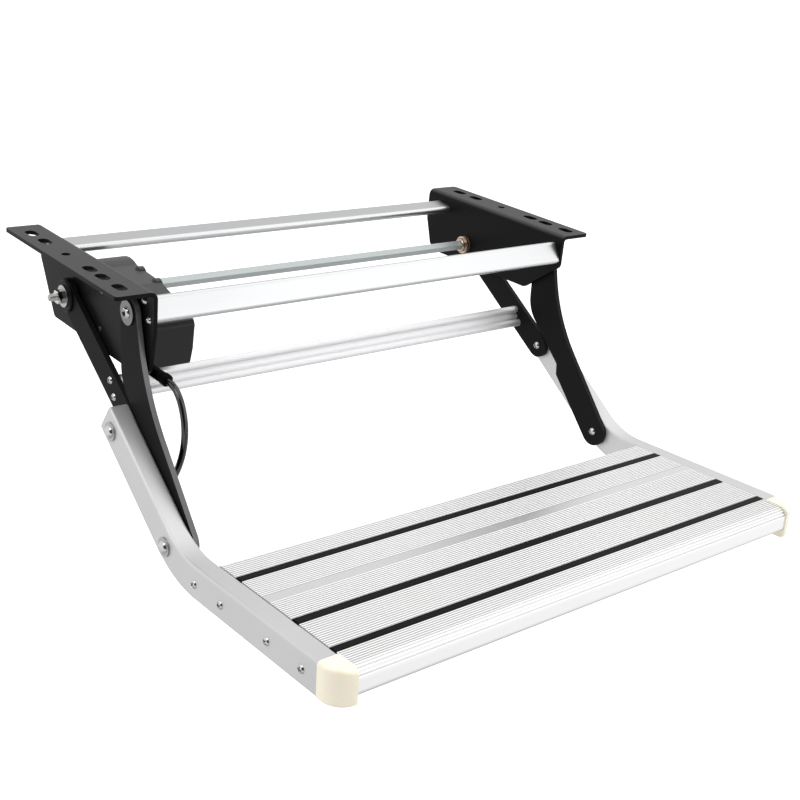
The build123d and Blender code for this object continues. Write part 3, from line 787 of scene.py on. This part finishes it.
def prototype(kind, length):
    # a right-hand fastener with its outer end at the origin and its axis along X
    shank = kind["shank"]
    blunt = head["blunt"]
    if "outer" in kind:
        profile = [(-depth, radius) for depth, radius in crown(*kind["outer"])]
        profile.append((-kind["outer"][1], shank))
    else:
        profile = [(0.0, 0.0), (0.0, shank - blunt), (-blunt, shank)]
    if "inner" in kind:
        profile.append((kind["inner"][1] - length, shank))
        profile += [(depth - length, radius) for depth, radius in reversed(crown(*kind["inner"]))]
    else:
        profile += [(blunt - length, shank), (-length, shank - blunt), (-length, 0.0)]
    data = lathe(profile)
    if "recess" in kind:
        shape, end, radius, depth = kind["recess"]
        place = Matrix.Identity(4)
        if end == "inner":
            place = Matrix.Translation((-length, 0.0, 0.0)) @ halfTurn
        data = recessed(data, shape, radius, depth, place)
    return data


bodyOf = {}
for body, members in frame["record"]["behaviour"]["bodies"].items():
    bodyOf.update({node: body for node in members})
detailed = {}
for node, kind in fasteners.items():
    boxes = solids(node)
    pattern = prototype(kind, boxes[0][1].x - boxes[0][0].x)
    work = bmesh.new()
    for number, (low, high) in enumerate(boxes):
        onLeft = high.x < 0.0
        outerEnd = low.x if onLeft else high.x
        place = Matrix.Translation((outerEnd, (low.y + high.y) / 2, (low.z + high.z) / 2))
        if onLeft:
            place = place @ halfTurn
        addCopy(work, pattern, place @ Matrix.Rotation(head["turn"] * number, 4, "X"))
    bmesh.ops.dissolve_degenerate(work, dist=tiny, edges=work.edges)
    piece = show(node + "_detail", written(work, node + "_detail"), head["sharp"])
    wear(piece, finishes["brightZinc"])
    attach(piece, bodyOf[node])
    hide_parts(node)
    detailed[node] = piece

# One bolt of the gear case, the upper front one, is bright zinc and the others are painted black as
# painted shade
litBolt = {"before": -0.03, "above": -0.04}
caseBolts = detailed["gear_case_bolts"]
caseBolts.data.materials.append(finishes["shadedBoltSteel"].material)
for face in caseBolts.data.polygons:
    # bolts outside the lit corner take the painted shade
    bright = face.center.y < litBolt["before"] and face.center.z > litBolt["above"]
    face.material_index = 0 if bright else 1
print("fasteners done")

# Rolled M8 threads on the ends of the drive shaft, outside the nuts.
# width and flat are the half widths of the root and the crest, as shares of the pitch.
thread = {
    "pitch": 0.00125,
    "crest": 0.0039,
    "root": 0.0033,
    "width": 0.48,
    "flat": 0.06,
    "clear": 0.001,
    "steps": 36,
}
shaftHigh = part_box("drive_shaft")[1]
nutLow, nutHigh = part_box("shaft_nuts")
axisY = (nutLow.y + nutHigh.y) / 2
axisZ = (nutLow.z + nutHigh.z) / 2


def threadRings():
    # sections along the helix, which starts inside the nut and fades out at both ends
    pitch = thread["pitch"]
    root = thread["root"]
    width = thread["width"] * pitch
    flat = thread["flat"] * pitch
    start = nutHigh.x - pitch
    run = shaftHigh.x - thread["clear"] - start
    count = int(run / pitch * thread["steps"])
    rings = []
    for step in range(count + 1):
        angle = 2.0 * math.pi * step / thread["steps"]
        middle = start + pitch * step / thread["steps"]
        fade = min(1.0, step / thread["steps"], (count - step) / thread["steps"])
        crest = root + fade * (thread["crest"] - root)
        section = ((-width, root), (-flat, crest), (flat, crest), (width, root))
        c, s = math.cos(angle), math.sin(angle)
        rings.append([(middle + shift, radius * c, radius * s) for shift, radius in section])
    return rings


oneThread = meshOf("oneThread", *stitched(threadRings()))
work = bmesh.new()
for side in (Matrix.Identity(4), halfTurn):
    addCopy(work, oneThread, Matrix.Translation((0.0, axisY, axisZ)) @ side)
bpy.data.meshes.remove(oneThread)
bmesh.ops.recalc_face_normals(work, faces=work.faces)
shaftThreads = show("shaftThreads", written(work, "shaftThreads"))
wear(shaftThreads, finishes["brightZinc"])
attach(shaftThreads, "rear_arms")
print("threads done")

# Floor and light
stage = {
    "height": -0.58,
    "reach": 30.0,
    "colour": (0.93, 0.93, 0.93, 1.0),
    "roughness": 0.8,
    "glow": 0.45,
    "aim": (0.0, -0.2, -0.1),
}
reach = stage["reach"]
corners = [(-reach, -reach), (reach, -reach), (reach, reach), (-reach, reach)]
floor = show("floor", meshOf("floor", [(x, y, stage["height"]) for x, y in corners], [(0, 1, 2, 3)]))
paper = {
    "Base Color": stage["colour"],
    "Roughness": stage["roughness"],
    "Specular IOR Level": 0.0,
    "Emission Color": (1.0, 1.0, 1.0, 1.0),
    "Emission Strength": stage["glow"],
}
wear(floor, Finish("paper", paper))
floor.visible_glossy = False
floor.visible_diffuse = False

# White studio: dark on the camera's side, dimmer below and behind on the right, and brighter low in
# front. Each pair is where a zone starts and where it is full.
studio = {
    "bright": 1.1,
    "dark": (-0.58, -0.76, 0.30),
    "darkZone": (0.72, 0.90),
    "shade": 0.96,
    "front": (0.51, -0.84, -0.18),
    "frontZone": (0.75, 0.95),
    "fill": 0.10,
    "rightZone": (-0.4, 0.4),
    "backZone": (0.0, 0.6),
    "behind": 0.28,
    "upZone": (-0.9, -0.35),
    "low": 0.55,
}
world = bpy.data.worlds.new("studio")
world.use_nodes = True
scene.world = world
sky = Shading(world.node_tree)
direction = sky.node("TexCoord", {}, {}, "Generated")


def towards(way):
    return sky.node("VectorMath", {"operation": "DOT_PRODUCT"}, {0: direction, 1: way}, "Value")


dark = towards(studio["dark"]).between(*studio["darkZone"])
front = towards(studio["front"]).between(*studio["frontZone"])
right = sky.part(direction, "X").between(*studio["rightZone"])
back = sky.part(direction, "Y").between(*studio["backZone"])
up = sky.part(direction, "Z").between(*studio["upZone"])
level = studio["bright"] - studio["behind"] * right * back + studio["fill"] * front
level = level * (1.0 - studio["shade"] * dark)
level = level * (studio["low"] + (1.0 - studio["low"]) * up)
seen = sky.node("LightPath", {}, {}, "Is Camera Ray")  # the studio itself looks plain white
backdrop = world.node_tree.nodes["Background"]
backdrop.inputs["Color"].default_value = (1.0, 1.0, 1.0, 1.0)
world.node_tree.links.new((level + seen * (1.0 - level)).socket, backdrop.inputs["Strength"])

# Soft boxes, turned to the step
softboxes = {
    "frontRight": {"place": (1.25, -1.85, 0.75), "size": 1.6, "power": 6.5},
    "upperLeft": {"place": (-1.4, -0.35, 1.25), "size": 0.9, "power": 6.0},
    "overheadRight": {"place": (1.2, -0.2, 2.0), "size": 2.2, "power": 10.0},
}
for name, box in softboxes.items():
    light = bpy.data.lights.new(name, "AREA")
    light.size = box["size"]
    light.energy = box["power"]
    lamp = bpy.data.objects.new(name, light)
    lamp.location = box["place"]
    lamp.rotation_euler = (Vector(stage["aim"]) - lamp.location).to_track_quat("-Z", "Y").to_euler()
    lamp.visible_camera = False
    scene.collection.objects.link(lamp)
print("stage done")
